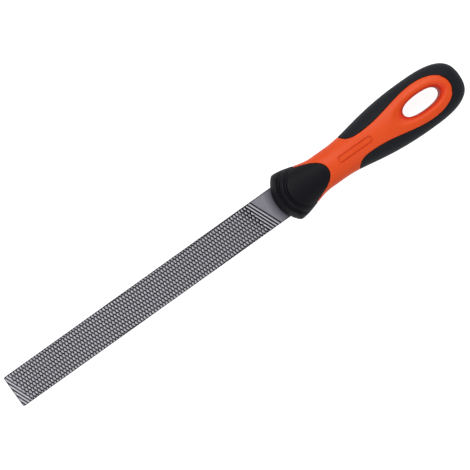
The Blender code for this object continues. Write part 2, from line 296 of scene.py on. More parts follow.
# %% [markdown]
# The body could be turned from this profile by Spin, but that makes only round sections, and the real
# handle is flattened by a different share at each place. So it is pulled out of one thin slice: a disc
# is put at the nose, and its end is extruded to each station in turn and resized to the width and
# thickness there. The section is a little squarer than an ellipse, so the disc's corners are eased
# outwards before it is pulled. Subdivision smooths the body. It also draws a round form in slightly,
# so the slice starts larger.

# %% Pull the handle's body
AROUND, SLICE, SMALLEST_RING = 32, 0.02, 0.4
SECTION_SQUARENESS = 2.25
SMOOTHING_LEVELS = 2
DRAWN_IN = 1 - (1 - math.cos(2 * math.pi / AROUND)) / 3


def squared(vertex):
    """Moves a point of a round section out onto a slightly squarer one."""
    across, up = abs(vertex.co.y), abs(vertex.co.z)
    size = math.hypot(across, up)
    if size:
        power = SECTION_SQUARENESS
        gain = ((across / size) ** power + (up / size) ** power) ** (-1 / power)
        vertex.co.y *= gain
        vertex.co.z *= gain


def sections(line, depth):
    """The place, half width and half height of each ring of the body."""
    for x, half in line:
        if half / DRAWN_IN > SMALLEST_RING:
            up = max(half * flatness(x) - depth * (1 - flatness(x)), 0)
            yield x, half / DRAWN_IN, up / DRAWN_IN


def handle_body(name, line, depth=0.0):
    """The body of revolution, flattened, whose skin lies depth inside the outer one."""
    rings = list(sections(line, depth))
    front, half, up = line[0][0], *rings[0][1:]
    made = begin(
        name,
        bpy.ops.mesh.primitive_cylinder_add,
        vertices=AROUND,
        radius=MM,
        depth=SLICE * MM,
        rotation=(0, math.pi / 2, 0),
        location=(front * MM, 0, 0),
    )
    bpy.ops.object.transform_apply()
    for vertex in made.data.vertices:
        squared(vertex)
        vertex.co.y *= half
        vertex.co.z *= up
    edit(made, lambda place: place.x > front * MM, "FACE")
    now = (front + SLICE / 2, half, up)
    for ring in rings:
        pull((ring[0] - now[0]) * MM)
        size = (1, ring[1] / now[1], ring[2] / now[2])
        bpy.ops.transform.resize(value=size, center_override=(ring[0] * MM, 0, 0))
        now = ring
    pull((line[-1][0] - now[0]) * MM)
    face_outwards(made)
    modify(made, "SUBSURF", levels=SMOOTHING_LEVELS, render_levels=SMOOTHING_LEVELS)
    return made


handle = handle_body("handle body", outer_profile)
print("handle body:", *measured(handle))

# %% [markdown]
# ## Where the materials meet
#
# From above, the soft and the hard plastic meet along flowing curves: a round-ended tongue behind the
# collar, and a keyhole-like tongue of the core between the arms of the tail grip. The border could be
# painted onto one body, but the real mouldings are separate. So the outlines are drawn as flat curves
# with few points, made thick, and used as cutters, and the border runs straight down through the handle
# as the real mould's parting does.

# %% Outlines made thick
REACH = 30.0
DOUBLES, ON_AXIS = 0.001, 1e-6


def thick(name, outline, low=-REACH, high=REACH):
    """A closed outline seen from above as a solid from low to high."""
    drawing = bpy.data.curves.new(name, "CURVE")
    drawing.dimensions = "2D"
    drawing.fill_mode = "BOTH"
    drawing.extrude = (high - low) / 2 * MM
    line = drawing.splines.new("POLY")
    line.points.add(len(outline) - 1)
    for point, (x, y) in zip(line.points, outline):
        point.co = (x * MM, y * MM, 0.0, 1.0)
    line.use_cyclic_u = True
    made = bpy.data.objects.new(name, drawing)
    bpy.context.collection.objects.link(made)
    made.location.z = (high + low) / 2 * MM
    pick(made)
    bpy.ops.object.convert(target="MESH")
    bpy.ops.object.transform_apply()
    edit(made)
    bpy.ops.mesh.remove_doubles(threshold=DOUBLES * MM)
    face_outwards(made)
    return made


def mirrored(half_outline):
    """An outline from its half on the +Y side."""
    return half_outline + [(x, -y) for x, y in reversed(half_outline) if y > ON_AXIS]


print("cutters reach", REACH, "mm")

# %% Outlines seen from above
COLLAR_SIDE, TONGUE_HALF, TONGUE_END = 208.6, 11.9, 224.4
TONGUE_REACH, TONGUE_NARROWING, TONGUE_BLUNTNESS = 0.42, 0.79, 0.59
GRIP_START, WAIST, RING, RING_END = (238.7, 13.5), (250.7, 6.35), (291.6, 11.9), 310.9
GRIP_REACH, GRIP_DROP, WAIST_REACHES, RING_REACH = 0.16, 5.0, (0.62, 0.40), 0.33
RING_SQUARENESS = 2.12
HOLE_CENTRE, HOLE_LENGTH, HOLE_WIDTH, HOLE_SQUARENESS = 291.0, 26.0, 10.4, 2.3
TONGUE_STEPS, WAIST_STEPS, RING_STEPS, HOLE_STEPS = 24, 20, 24, 16
MOULD_GAP = 0.04


def collar_outline(gap):
    side, half, end = COLLAR_SIDE + gap, TONGUE_HALF + gap, TONGUE_END + gap
    after_side = side + TONGUE_REACH * (end - side), TONGUE_NARROWING * half
    tongue = span((side, half), after_side, (end, TONGUE_BLUNTNESS * half), (end, 0), TONGUE_STEPS)
    return [(NOSE[0] - REACH, REACH), (side, REACH), (side, half)] + tongue


def core_outline(gap):
    start, waist = (GRIP_START[0], GRIP_START[1] + gap), (WAIST[0], WAIST[1] + gap)
    ring, end = (RING[0], RING[1] + gap), RING_END + gap
    dip, climb = waist[0] - start[0], ring[0] - waist[0]
    after_start = start[0] + GRIP_REACH * dip, start[1] - GRIP_DROP
    before_waist = waist[0] - WAIST_REACHES[0] * dip, waist[1]
    after_waist = waist[0] + WAIST_REACHES[1] * climb, waist[1]
    before_ring = ring[0] - RING_REACH * climb, ring[1]
    line = [(NOSE[0] - REACH, REACH), (start[0], REACH), start]
    line += span(start, after_start, before_waist, waist, WAIST_STEPS)
    line += span(waist, after_waist, before_ring, ring, RING_STEPS)
    return line + quarter(ring[0], end - ring[0], ring[1], RING_SQUARENESS, RING_STEPS)[1:]


def hole_outline():
    round_end = quarter(0.0, HOLE_LENGTH / 2, HOLE_WIDTH / 2, HOLE_SQUARENESS, HOLE_STEPS)
    front = [(HOLE_CENTRE - x, y) for x, y in reversed(round_end)]
    return front + [(HOLE_CENTRE + x, y) for x, y in round_end[1:]]


print("outlines:", len(collar_outline(0)), len(core_outline(0)), len(hole_outline()), "points")

# %% [markdown]
# ## The file blank
#
# The blank is forged in one: a parallel blade, two shoulders and a tang that tapers both ways. The tang
# could be an object of its own, but it is the same steel, so all is drawn out of one cube: it is set to
# the blade's size, its end face is extruded twice for shoulder and tang, and the two upright corners at
# the tip are beveled round. The blade is drawn a quarter of a millimetre wider on each side than its
# solid, which is what the photograph measures. Grown by a clearance, the same shape is the tang's socket.

# %% Forge the blank
blade_low, blade_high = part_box("file_blade")
BLADE_LENGTH = 200.0
EDGE_SWELL = 0.25
BLADE_WIDTH = (blade_high.y - blade_low.y) / MM + 2 * EDGE_SWELL
BLADE_THICKNESS = (blade_high.z - blade_low.z) / MM
FACE = BLADE_THICKNESS / 2
SHOULDER, TANG_LENGTH = 3.5, 56.0
TANG_ROOT, TANG_END, TANG_END_THICKNESS = 11.0, 4.5, 3.2
TANG_CLEARANCE = 0.3
TIP_CORNER, TIP_SEGMENTS = 1.0, 6


def blank(name, clearance=0.0):
    length, width = BLADE_LENGTH + clearance, BLADE_WIDTH + 2 * clearance
    high, root = BLADE_THICKNESS + 2 * clearance, TANG_ROOT + 2 * clearance
    made = begin(name, bpy.ops.mesh.primitive_cube_add, size=MM, location=(length / 2 * MM, 0, 0))
    bpy.ops.transform.resize(value=(length, width, high))
    bpy.ops.object.transform_apply()
    edit(made, lambda place: place.x > BLADE_LENGTH / 2 * MM, "FACE")
    pull(SHOULDER * MM)
    bpy.ops.transform.resize(value=(1, root / width, 1), center_override=(0, 0, 0))
    pull((TANG_LENGTH - SHOULDER) * MM)
    taper = (1, (TANG_END + 2 * clearance) / root, (TANG_END_THICKNESS + 2 * clearance) / high)
    bpy.ops.transform.resize(value=taper, center_override=(0, 0, 0))
    round_upright(made, TIP_CORNER, TIP_SEGMENTS, lambda place: place.x < MM)
    face_outwards(made)
    return made


blade = blank("toothed_blade")
socket = blank("tang socket", TANG_CLEARANCE)
print("blank:", *measured(blade))

# %% [markdown]
# ## The teeth
#
# A double-cut face is chiselled twice. The first cut leaves long sloping ridges, and the second one
# breaks them into rows of small teeth, each steep towards the tip and sloping gently behind. The last
# few ridges at the heel, and the first ones at the tip, are crossed by no second cut. A bump map would
# be too shallow for this, so a die is made: a grid with three steps along each tooth and four across,
# whose crests are lifted. Within a tooth, each step is also moved a little along (the bow and the lean)
# and across (the sway and the twist), in shares of a tooth, which bends the facets as the chisel does.
# The rows wander by a millimetre or so, as on the real blade. The die is slanted onto the slope of the
# cut and taken off the blank.

# %% The tooth's shape
ROW_PITCH, TOOTH_PITCH = 1.902, 2.40
CUT_SLOPE = math.tan(math.radians(22.5))
TOOTH_DEPTH, CREST_BELOW_FACE = 0.60, 0.03
CUT_END = 180.0
SECOND_CUT_START, SECOND_CUT_SLOPE, SECOND_CUT_END = 4.6, 0.17, 174.5
STEPS_ALONG, STEPS_ACROSS = 3, 4
HEEL_RIDGES = 5
HEEL_LEAN, TIP_LEAN, HEEL_BORDER = (0.0, -0.09, 0.07), (0.0, -0.12, 0.08), 0.28
TOOTH_HEIGHTS = (0.2, 0.62, 1.0, 1.0)
TOOTH_BOW, TOOTH_LEAN = (0.05, 0.02, -0.08, 0.12), (0.0, -0.10, -0.04)
TOOTH_SWAY, TOOTH_TWIST = (0.0, -0.04, 0.0, 0.11), (0.0, 0.09, -0.09)
ROW_WANDER = (0, 0.3), (44, 1.47), (104, -1.2), (180, 0.25)


def crossed(place):
    """Whether the second cut also runs through this point of the die, before it is slanted."""
    across = place.y * TOOTH_PITCH + between(ROW_WANDER, CUT_END + place.x * ROW_PITCH)
    along = CUT_END + place.x * ROW_PITCH - across * CUT_SLOPE
    drift = across * SECOND_CUT_SLOPE
    return SECOND_CUT_START - drift < along < SECOND_CUT_END - drift


def carve(vertex):
    """Moves one point of the flat grid to its place on the die, by its step within its tooth."""
    steps_from_heel = round(-vertex.co.x * STEPS_ALONG)
    along = steps_from_heel % STEPS_ALONG
    across = round(vertex.co.y * STEPS_ACROSS) % STEPS_ACROSS
    if crossed(vertex.co):
        x, y = TOOTH_BOW[across] + TOOTH_LEAN[along], TOOTH_SWAY[across] + TOOTH_TWIST[along]
        share = TOOTH_HEIGHTS[across]
    else:
        x, y, share = (HEEL_LEAN if -vertex.co.x < HEEL_RIDGES else TIP_LEAN)[along], 0.0, 1.0
    if steps_from_heel == 0:
        x = HEEL_BORDER
    vertex.co += Vector((x, y, share * (TOOTH_DEPTH - CREST_BELOW_FACE) if along else 0.0))


print("tooth:", ROW_PITCH, "x", TOOTH_PITCH, "mm,", TOOTH_DEPTH, "mm deep")

# %% Cut the teeth
DIE_HEIGHT = 6.0


def tooth_die(name):
    rows = math.ceil((CUT_END + BLADE_WIDTH * CUT_SLOPE) / ROW_PITCH)
    teeth = 2 * math.ceil(BLADE_WIDTH / TOOTH_PITCH / 2) + 2
    made = begin(
        name,
        bpy.ops.mesh.primitive_grid_add,
        x_subdivisions=rows * STEPS_ALONG,
        y_subdivisions=teeth * STEPS_ACROSS,
        size=1,
    )
    made.data.transform(Matrix.Translation((-rows / 2, 0, 0)) @ Matrix.Diagonal((rows, teeth, 1, 1)))
    for vertex in made.data.vertices:
        carve(vertex)
    edit(made)
    pull(up=DIE_HEIGHT)
    bpy.ops.transform.resize(value=(1, 1, 0), center_override=(0, 0, DIE_HEIGHT))
    face_outwards(made)
    slant = -CUT_SLOPE * TOOTH_PITCH
    lattice = Matrix(((ROW_PITCH, slant, 0, 0), (0, TOOTH_PITCH, 0, 0), (0, 0, 1, 0), (0, 0, 0, 1)))
    made.data.transform(Matrix.Translation((CUT_END, 0, FACE - TOOTH_DEPTH)) @ lattice)
    for vertex in made.data.vertices:
        wander = between(ROW_WANDER, vertex.co.x)
        vertex.co.x -= CUT_SLOPE * wander
        vertex.co.y += wander
    made.data.transform(Matrix.Scale(MM, 4))
    return made


die = tooth_die("tooth die")
cut(blade, "DIFFERENCE", die)
die.data.transform(Matrix.Rotation(math.pi, 4, "X"))
cut(blade, "DIFFERENCE", die)
discard(die)
pick(blade)
bpy.ops.object.shade_flat()
print("file blade:", *measured(blade))

# %% [markdown]
# ## The moulded pieces
#
# Each moulding is cut from a copy of the handle's body. Mouldings have no knife-sharp edges. A Bevel
# modifier could round them, but it breaks up on the slivers that Boolean cuts leave. So each cut piece
# is remade as an even skin of small faces, and that skin is smoothed a little: it rounds every border by
# about half a millimetre at once, and two rounded borders side by side give the fine dark line that
# shows where the plastics meet.

# %% Rounding for moulded pieces
SKIN, SKIN_SMOOTHING, SMOOTHING_PULL = 0.42, 3, 0.5


def mould(thing):
    """Turns a sharply cut solid into a moulding with softened edges."""
    modify(thing, "REMESH", mode="VOXEL", voxel_size=SKIN * MM)
    modify(thing, "SMOOTH", factor=SMOOTHING_PULL, iterations=SKIN_SMOOTHING)
    pick(thing)
    bpy.ops.object.shade_smooth()


print("skin of", SKIN, "mm faces")

# %% [markdown]
# The collar is a shell over the core's front. It ends in a tongue on both faces, and two shallow grooves
# run across it in arcs that follow its domed nose. A bump in the finish could stand for the grooves, but
# it would leave the outline whole. So each one is half a ring, given as (place behind the nose, width,
# depth), and only the part of it above a thinner copy of the body is taken off.

# %% Grooves
ARC_RADIUS, ARC_STEPS = 21.8, 32
GROOVES, GROOVE_FADE = ((5.0, 1.9, 2.15), (8.9, 1.6, 1.3)), 1.01


def arc(radius):
    """Half a circle, as seen from above, that opens towards the tail."""
    centre = NOSE[0] + ARC_RADIUS
    turns = [math.pi * (step / ARC_STEPS - 0.5) for step in range(ARC_STEPS + 1)]
    return [(centre - radius * math.cos(turn), radius * math.sin(turn)) for turn in turns]


def arc_groove(name, place, width, depth):
    """Half a ring that follows the nose at a distance behind it, hollow below the groove's floor."""
    middle = ARC_RADIUS - place
    made = thick(name, arc(middle + width / 2) + arc(middle - width / 2)[::-1])
    groove_floor = copy_of(handle, "groove floor")
    groove_floor.data.transform(Matrix.Diagonal((1, GROOVE_FADE, 1 - 2 * depth / GUARD_THICKNESS, 1)))
    cut(made, "DIFFERENCE", groove_floor)
    discard(groove_floor)
    return made


print("grooves:", len(GROOVES))

# %% The front collar
COLLAR_SKIN = 2.4
collar = copy_of(handle, "collar_moulding")
for place, width, depth in GROOVES:
    groove = arc_groove("arc groove", place, width, depth)
    cut(collar, "DIFFERENCE", groove)
    discard(groove)
collar_zone = thick("collar zone", mirrored(collar_outline(0.0)))
under_collar = handle_body("under collar", inset(outer_profile, COLLAR_SKIN), COLLAR_SKIN)
cut(collar, "INTERSECT", collar_zone)
cut(collar, "DIFFERENCE", under_collar)
cut(collar, "DIFFERENCE", socket)
discard(collar_zone, under_collar)
mould(collar)
print("front collar:", *measured(collar))

# %% [markdown]
# The core is what is left between the soft pieces. It carries the tang's socket and the long hole that
# the file hangs by, with a wide dish round the hole on both faces. It could be built up from parts, but
# cuts from the one body keep its skin flush with the soft pieces. The dish is a flat ball that is sunk
# into the face, and the rim of the hole is smoothed until it is as round as the moulded one.

# %% The core's cutters
DISH_LENGTH, DISH_WIDTH, DISH_DEPTH = 39.0, 17.0, 3.0
DISH_SEGMENTS, DISH_RINGS = 64, 32
GRIP_SKIN, FLANGE_THICKNESS = 3.8, 6.0


def dish(name, side):
    surface = SWELL[1] * flatness(HOLE_CENTRE) * side
    made = begin(
        name,
        bpy.ops.mesh.primitive_uv_sphere_add,
        segments=DISH_SEGMENTS,
        ring_count=DISH_RINGS,
        radius=MM,
        location=(HOLE_CENTRE * MM, 0, surface * MM),
    )
    bpy.ops.transform.resize(value=(DISH_LENGTH / 2, DISH_WIDTH / 2, DISH_DEPTH))
    bpy.ops.object.transform_apply()
    return made


def hard_tail(name, gap):
    """The core's own space: what shows from above, and a flange at half height inside the grip."""
    made = thick(name, mirrored(core_outline(gap)))
    depth = GRIP_SKIN - gap
    flange = handle_body("flange", inset(outer_profile, depth), depth)
    top = FLANGE_THICKNESS / 2 + gap
    slab = thick("flange slab", mirrored([(-REACH, REACH), (TAIL[0] + REACH, REACH)]), -top, top)
    cut(flange, "INTERSECT", slab)
    cut(made, "UNION", flange)
    discard(flange, slab)
    return made


print("dish", DISH_LENGTH, "x", DISH_WIDTH, "mm, flange", FLANGE_THICKNESS, "mm thick")

# %% The handle core
core = copy_of(handle, "core_moulding")
core_zone = hard_tail("core zone", 0.0)
collar_seat = thick("collar seat", mirrored(collar_outline(MOULD_GAP)))
spigot_depth = COLLAR_SKIN + MOULD_GAP
spigot = handle_body("spigot", inset(outer_profile, spigot_depth), spigot_depth)
hole = thick("hanging hole", mirrored(hole_outline()))
cut(collar_seat, "DIFFERENCE", spigot)
cut(core, "INTERSECT", core_zone)
for cutter in (collar_seat, socket, hole):
    cut(core, "DIFFERENCE", cutter)
for side in (1, -1):
    bowl = dish("dish", side)
    cut(core, "DIFFERENCE", bowl)
    discard(bowl)
discard(core_zone, collar_seat, spigot, hole, socket)
mould(core)
print("handle core:", *measured(core))

# %% Round the hole's rim
RIM_REACH, RIM_SMOOTHING = 2.6, 88
DISH_REACH, DISH_SMOOTHING = 1.15, 30


def near_hole(place):
    along = (place.x / MM - HOLE_CENTRE) / (HOLE_LENGTH / 2 + RIM_REACH)
    across = place.y / MM / (HOLE_WIDTH / 2 + RIM_REACH)
    return abs(along) ** HOLE_SQUARENESS + abs(across) ** HOLE_SQUARENESS < 1.0


def near_dish(place):
    along = (place.x / MM - HOLE_CENTRE) / (DISH_LENGTH / 2)
    across = place.y / MM / (DISH_WIDTH / 2)
    return math.hypot(along, across) < DISH_REACH


for near, rounds in ((near_dish, DISH_SMOOTHING), (near_hole, RIM_SMOOTHING)):
    edit(core, near)
    bpy.ops.mesh.vertices_smooth(factor=SMOOTHING_PULL, repeat=rounds)
bpy.ops.object.mode_set(mode="OBJECT")
print("rim smoothed in", RIM_SMOOTHING, "rounds, dish in", DISH_SMOOTHING)

# %% [markdown]
# The tail grip is a horseshoe round the sides and the end. Drawn by itself it might overlap the core or
# stand off from it, so it is the rest of the body: all that lies outside the core's own space and a
# hairline gap.

# %% The tail grip
grip = copy_of(handle, "grip_moulding")
grip_seat = hard_tail("grip seat", MOULD_GAP)
cut(grip, "DIFFERENCE", grip_seat)
discard(grip_seat, handle)
mould(grip)
print("tail grip:", *measured(grip))

# %% [markdown]
# ## The label frame
#
# A thin rounded frame is engraved along the top of the neck. A line in the finish would catch no light,
# so it is cut: two rounded plates, one inside the other, make a ring that is sunk about two thirds of a
# millimetre into the skin. It is cut last, because the smoothing would close so fine a line.

# %% Engrave the label frame
LABEL_START, LABEL_END, LABEL_HEIGHT = 232.4, 254.7, 3.45
LABEL_LINE, LABEL_CORNER, LABEL_DEPTH = 0.75, 0.8, 0.65
LABEL_SEGMENTS = 5
SMOOTH_ANGLE = math.radians(40)


def rounded_plate(name, grow, low, high):
    """A plate with rounded upright corners, grown outwards all round."""
    length, width = LABEL_END - LABEL_START + 2 * grow, LABEL_HEIGHT + 2 * grow
    centre = ((LABEL_START + LABEL_END) / 2 * MM, 0, (low + high) / 2 * MM)
    made = begin(name, bpy.ops.mesh.primitive_cube_add, size=MM, location=centre)
    bpy.ops.transform.resize(value=(length, width, high - low))
    bpy.ops.object.transform_apply()
    round_upright(made, LABEL_CORNER + grow, LABEL_SEGMENTS)
    return made


label_line = rounded_plate("label line", LABEL_LINE / 2, 0.0, REACH)
label_field = rounded_plate("label field", -LABEL_LINE / 2, -REACH, 2 * REACH)
label_floor = handle_body("label floor", inset(outer_profile, LABEL_DEPTH), LABEL_DEPTH)
cut(label_line, "DIFFERENCE", label_field)
cut(label_line, "DIFFERENCE", label_floor)
cut(core, "DIFFERENCE", label_line)
discard(label_line, label_field, label_floor)
pick(core)
bpy.ops.object.shade_smooth_by_angle(angle=SMOOTH_ANGLE)
print("handle core with its label frame:", *measured(core))

# %% [markdown]
# ## Finishes
#
# Three real materials: hardened tool steel, ground and then chiselled; polypropylene, moulded to a satin
# skin; and a thermoplastic elastomer, moulded to a matt, fine-grained skin. Photographed textures could
# be laid on them, but drawn ones stay sharp at any size. Colours are written as on a screen, in hex, and
# one function turns them into the linear values that the shader wants. One small function adds a node
# with its settings and links. It names inputs by their sockets, with _6 for the one numbered 6.


# %% Helpers for finishes
def linear(code):
    """A screen colour such as E8552B as linear red, green, blue and alpha."""
    shares = [int(code[start : start + 2], 16) / 255 for start in (0, 2, 4)]
    lit = [share / 12.92 if share <= 0.04045 else ((share + 0.055) / 1.055) ** 2.4 for share in shares]
    return lit + [1.0]


def plug(tree, node, **inputs):
    """Sets inputs of a node by socket name, to values, sockets or another node's live output."""
    for name, value in inputs.items():
        target = node.inputs[int(name[1:]) if name[0] == "_" else name.replace("_", " ")]
        if isinstance(value, bpy.types.Node):
            value = next(output for output in value.outputs if output.enabled)
        if isinstance(value, bpy.types.NodeSocket):
            tree.links.new(value, target)
        else:
            target.default_value = value
    return node


def add(tree, kind, settings=None, **inputs):
    """Adds a node. Settings are its own properties, and inputs are as for plug."""
    node = tree.nodes.new(kind)
    for name, value in (settings or {}).items():
        setattr(node, name, value)
    return plug(tree, node, **inputs)


def new_finish(name):
    made = bpy.data.materials.new(name)
    made.use_nodes = True
    shader = made.node_tree.nodes["Principled BSDF"]
    place = add(made.node_tree, "ShaderNodeTexCoord").outputs["Object"]
    return made, made.node_tree, shader, place


def per_metre(size):
    """The texture scale at which one wave or cell is about this many millimetres."""
    return 1 / (size * MM)


COLOURS = {"data_type": "RGBA"}
SMOOTH = {"interpolation_type": "SMOOTHSTEP"}
print("finish helpers ready")

# %% [markdown]
# Tool steel: the ground heel is a mid grey with fine scratches across it, and it darkens towards the
# collar, which shades it. In the toothed zone the crests carry a painted highlight and the valleys a
# painted shade, which reaches higher in the uncrossed ridges at the heel. A plain metal with a bump would
# show none of this, so the colour follows the depth below the face. Along the blade's outline runs a dark
# border, and the narrow sides are ground like the heel.

# %% Where the steel is bright
# Each pair is where a mask begins and where it is full: before the cut's end, or inside the outline.
# Painted light on the teeth: crests are painted bright from this depth below the face, and valleys
# painted dark, as shade, up to these heights above their floor.
BRIGHT_BELOW_FACE = 0.1
BLACK_ABOVE_VALLEY, BLACK_ABOVE_HEEL_VALLEY, BLACKER = 0.05, 0.19, (10.0, 7.5)
UNCUT = 1.2, 0.2
SIDE = 0.05, 0.02
BORDER, BORDER_STRENGTH = (0.75, 0.35), 0.6


def beyond_outline(tree, x, y):
    """How far a point lies outside the blade's outline, drawn in by the radius of its corners."""
    across = add(tree, "ShaderNodeMath", {"operation": "ABSOLUTE"}, _0=y)
    inner_side = (BLADE_WIDTH / 2 - TIP_CORNER) * MM
    past_tip = add(tree, "ShaderNodeMath", {"operation": "SUBTRACT"}, _0=TIP_CORNER * MM, _1=x)
    past_side = add(tree, "ShaderNodeMath", {"operation": "SUBTRACT"}, _0=across, _1=inner_side)
    past = add(tree, "ShaderNodeCombineXYZ", X=past_tip, Y=past_side)
    outside = add(tree, "ShaderNodeVectorMath", {"operation": "MAXIMUM"}, _0=past)
    return add(tree, "ShaderNodeVectorMath", {"operation": "LENGTH"}, _0=outside)


def painted_crest_light(tree, z, row):
    """Painted highlight and shade by depth: 1 on the crests and 0 in the valleys, which reach higher in
    the last ridges.
    """
    height = add(tree, "ShaderNodeMath", {"operation": "ABSOLUTE"}, _0=z)
    valley = FACE - TOOTH_DEPTH
    black = add(
        tree,
        "ShaderNodeMapRange",
        Value=row,
        From_Min=(CUT_END - BLACKER[0]) * MM,
        From_Max=(CUT_END - BLACKER[1]) * MM,
        To_Min=(valley + BLACK_ABOVE_VALLEY) * MM,
        To_Max=(valley + BLACK_ABOVE_HEEL_VALLEY) * MM,
    )
    bright = (FACE - BRIGHT_BELOW_FACE) * MM
    return add(tree, "ShaderNodeMapRange", SMOOTH, Value=height, From_Min=black, From_Max=bright)


def border_mask(tree, beyond, side):
    """The dark border, on the toothed faces only."""
    near, full = ((TIP_CORNER - inside) * MM for inside in BORDER)
    rim = add(
        tree, "ShaderNodeMapRange", Value=beyond, From_Min=near, From_Max=full, To_Max=BORDER_STRENGTH
    )
    on_face = add(tree, "ShaderNodeMath", {"operation": "SUBTRACT"}, _0=1.0, _1=side)
    return add(tree, "ShaderNodeMath", {"operation": "MULTIPLY"}, _0=rim, _1=on_face)


print("bright from", BRIGHT_BELOW_FACE, "mm below the face")

# %% Tool steel
SCRATCH_WIDTH, SCRATCH_STRETCH, SCRATCH_DETAIL = 0.5, 0.08, 4.0
HEEL_TONES, SHADED_TONE = ("7C7B83", "96959D"), "504F58"
# The crest tones are a painted highlight, and the valley tone is a painted shade.
CREST_TONES, VALLEY_TONE, BORDER_TONE = ("D5D4DB", "D0CFD6"), "151419", "24232A"
SHADE_REACH, SHADE_STRENGTH = 5.0, 0.95
STEEL_ROUGHNESS = 0.42, 0.54


def heel_tone(tree, place, scratch):
    """Ground steel that darkens towards the collar."""
    low, high = (linear(tone) for tone in HEEL_TONES)
    ground = add(tree, "ShaderNodeMix", COLOURS, Factor=scratch, _6=low, _7=high)
    centre = (NOSE[0] + ARC_RADIUS) * MM, 0.0, 0.0
    away = add(tree, "ShaderNodeVectorMath", {"operation": "DISTANCE"}, _0=place, _1=centre)
    shade = add(
        tree,
        "ShaderNodeMapRange",
        Value=away,
        From_Min=(ARC_RADIUS + SHADE_REACH) * MM,
        From_Max=ARC_RADIUS * MM,
        To_Max=SHADE_STRENGTH,
    )
    return add(tree, "ShaderNodeMix", COLOURS, Factor=shade, _6=ground, _7=linear(SHADED_TONE))


def tool_steel():
    made, tree, shader, place = new_finish("hardened tool steel, ground and chiselled")
    x, y, z = add(tree, "ShaderNodeSeparateXYZ", Vector=place).outputs
    row = add(tree, "ShaderNodeMath", {"operation": "MULTIPLY_ADD"}, _0=y, _1=CUT_SLOPE, _2=x)
    beyond = beyond_outline(tree, x, y)
    near, full = ((TIP_CORNER - inside) * MM for inside in SIDE)
    side = add(tree, "ShaderNodeMapRange", Value=beyond, From_Min=near, From_Max=full)
    near, full = ((CUT_END - before) * MM for before in UNCUT)
    uncut = add(tree, "ShaderNodeMapRange", Value=row, From_Min=near, From_Max=full)
    plain = add(tree, "ShaderNodeMath", {"operation": "MAXIMUM"}, _0=uncut, _1=side)
    # Crests painted bright and valleys painted dark: a painted highlight and a painted shade.
    crest_light = painted_crest_light(tree, z, row)
    bright = add(tree, "ShaderNodeMath", {"operation": "MAXIMUM"}, _0=crest_light, _1=side)
    stretch = add(tree, "ShaderNodeMapping", Vector=place, Scale=(1.0, SCRATCH_STRETCH, 1.0))
    fine = per_metre(SCRATCH_WIDTH)
    scratch = add(tree, "ShaderNodeTexNoise", Vector=stretch, Scale=fine, Detail=SCRATCH_DETAIL)
    half_way, end = CUT_END / 2 * MM, CUT_END * MM
    along = add(tree, "ShaderNodeMapRange", Value=x, From_Min=half_way, From_Max=end)
    at_tip, at_heel = (linear(tone) for tone in CREST_TONES)
    crest = add(tree, "ShaderNodeMix", COLOURS, Factor=along, _6=at_tip, _7=at_heel)
    ground = heel_tone(tree, place, scratch)
    top = add(tree, "ShaderNodeMix", COLOURS, Factor=plain, _6=crest, _7=ground)
    colour = add(tree, "ShaderNodeMix", COLOURS, Factor=bright, _6=linear(VALLEY_TONE), _7=top)
    border = border_mask(tree, beyond, side)
    edged = add(tree, "ShaderNodeMix", COLOURS, Factor=border, _6=colour, _7=linear(BORDER_TONE))
    smooth, rough = STEEL_ROUGHNESS
    gloss = add(tree, "ShaderNodeMapRange", Value=scratch, To_Min=smooth, To_Max=rough)
    plug(tree, shader, Base_Color=edged, Roughness=gloss, Metallic=1.0)
    return made


steel_finish = tool_steel()
print("finish:", steel_finish.name)

# %% [markdown]
# The two plastics differ in gloss and grain. Polypropylene is satin, with a faint cloudiness of colour.
# The elastomer is matt, with a fine spark-eroded grain. Modelled grain would take millions of faces, so
# it is a bump. It is drawn coarser than the real one, which would be lost between pixels.

# %% The two plastics
SATIN_GRAIN, MATT_GRAIN, GRAIN_DEPTH, CLOUD, PLASTIC_DETAIL = 0.6, 0.5, 0.05, 14.0, 2.0
PLASTIC_IOR = 1.49


def moulded_plastic(name, tones, roughness, sheen, grain, relief):
    made, tree, shader, place = new_finish(name)
    wide, fine, detail = per_metre(CLOUD), per_metre(grain), PLASTIC_DETAIL
    cloud = add(tree, "ShaderNodeTexNoise", Vector=place, Scale=wide, Detail=detail)
    dark, light = (linear(tone) for tone in tones)
    colour = add(tree, "ShaderNodeMix", COLOURS, Factor=cloud, _6=dark, _7=light)
    grains = add(tree, "ShaderNodeTexNoise", Vector=place, Scale=fine, Detail=detail)
    bump = add(tree, "ShaderNodeBump", Strength=relief, Distance=GRAIN_DEPTH * MM, Height=grains)
    plug(tree, shader, Base_Color=colour, Normal=bump, Roughness=roughness)
    plug(tree, shader, IOR=PLASTIC_IOR, Specular_IOR_Level=sheen)
    return made


core_finish = moulded_plastic(
    "orange polypropylene, moulded satin",
    ("DC4712", "E44F18"),
    roughness=0.45,
    sheen=0.24,
    grain=SATIN_GRAIN,
    relief=0.25,
)
collar_finish = moulded_plastic(
    "black collar elastomer, moulded matt",
    ("03030B", "06060F"),
    roughness=0.6,
    sheen=0.19,
    grain=MATT_GRAIN,
    relief=0.5,
)
grip_finish = moulded_plastic(
    "black grip elastomer, moulded matt",
    ("0A0E16", "0E121A"),
    roughness=0.6,
    sheen=0.21,
    grain=MATT_GRAIN,
    relief=0.5,
)
print("finishes:", core_finish.name, "|", collar_finish.name, "|", grip_finish.name)

# %% [markdown]
# Light that bounces between the walls of the hole comes out redder than it went in, by more than this
# render shows. More bounces would slow the render, so the orange is reddened by its distance from the
# hole's centre, measured in half lengths and half widths of the hole.

# %% The rim of the hole
RIM_TONE = "D02A10"
RIM_FULL, RIM_NONE = 0.98, 1.42
ENDLESS = 1e6


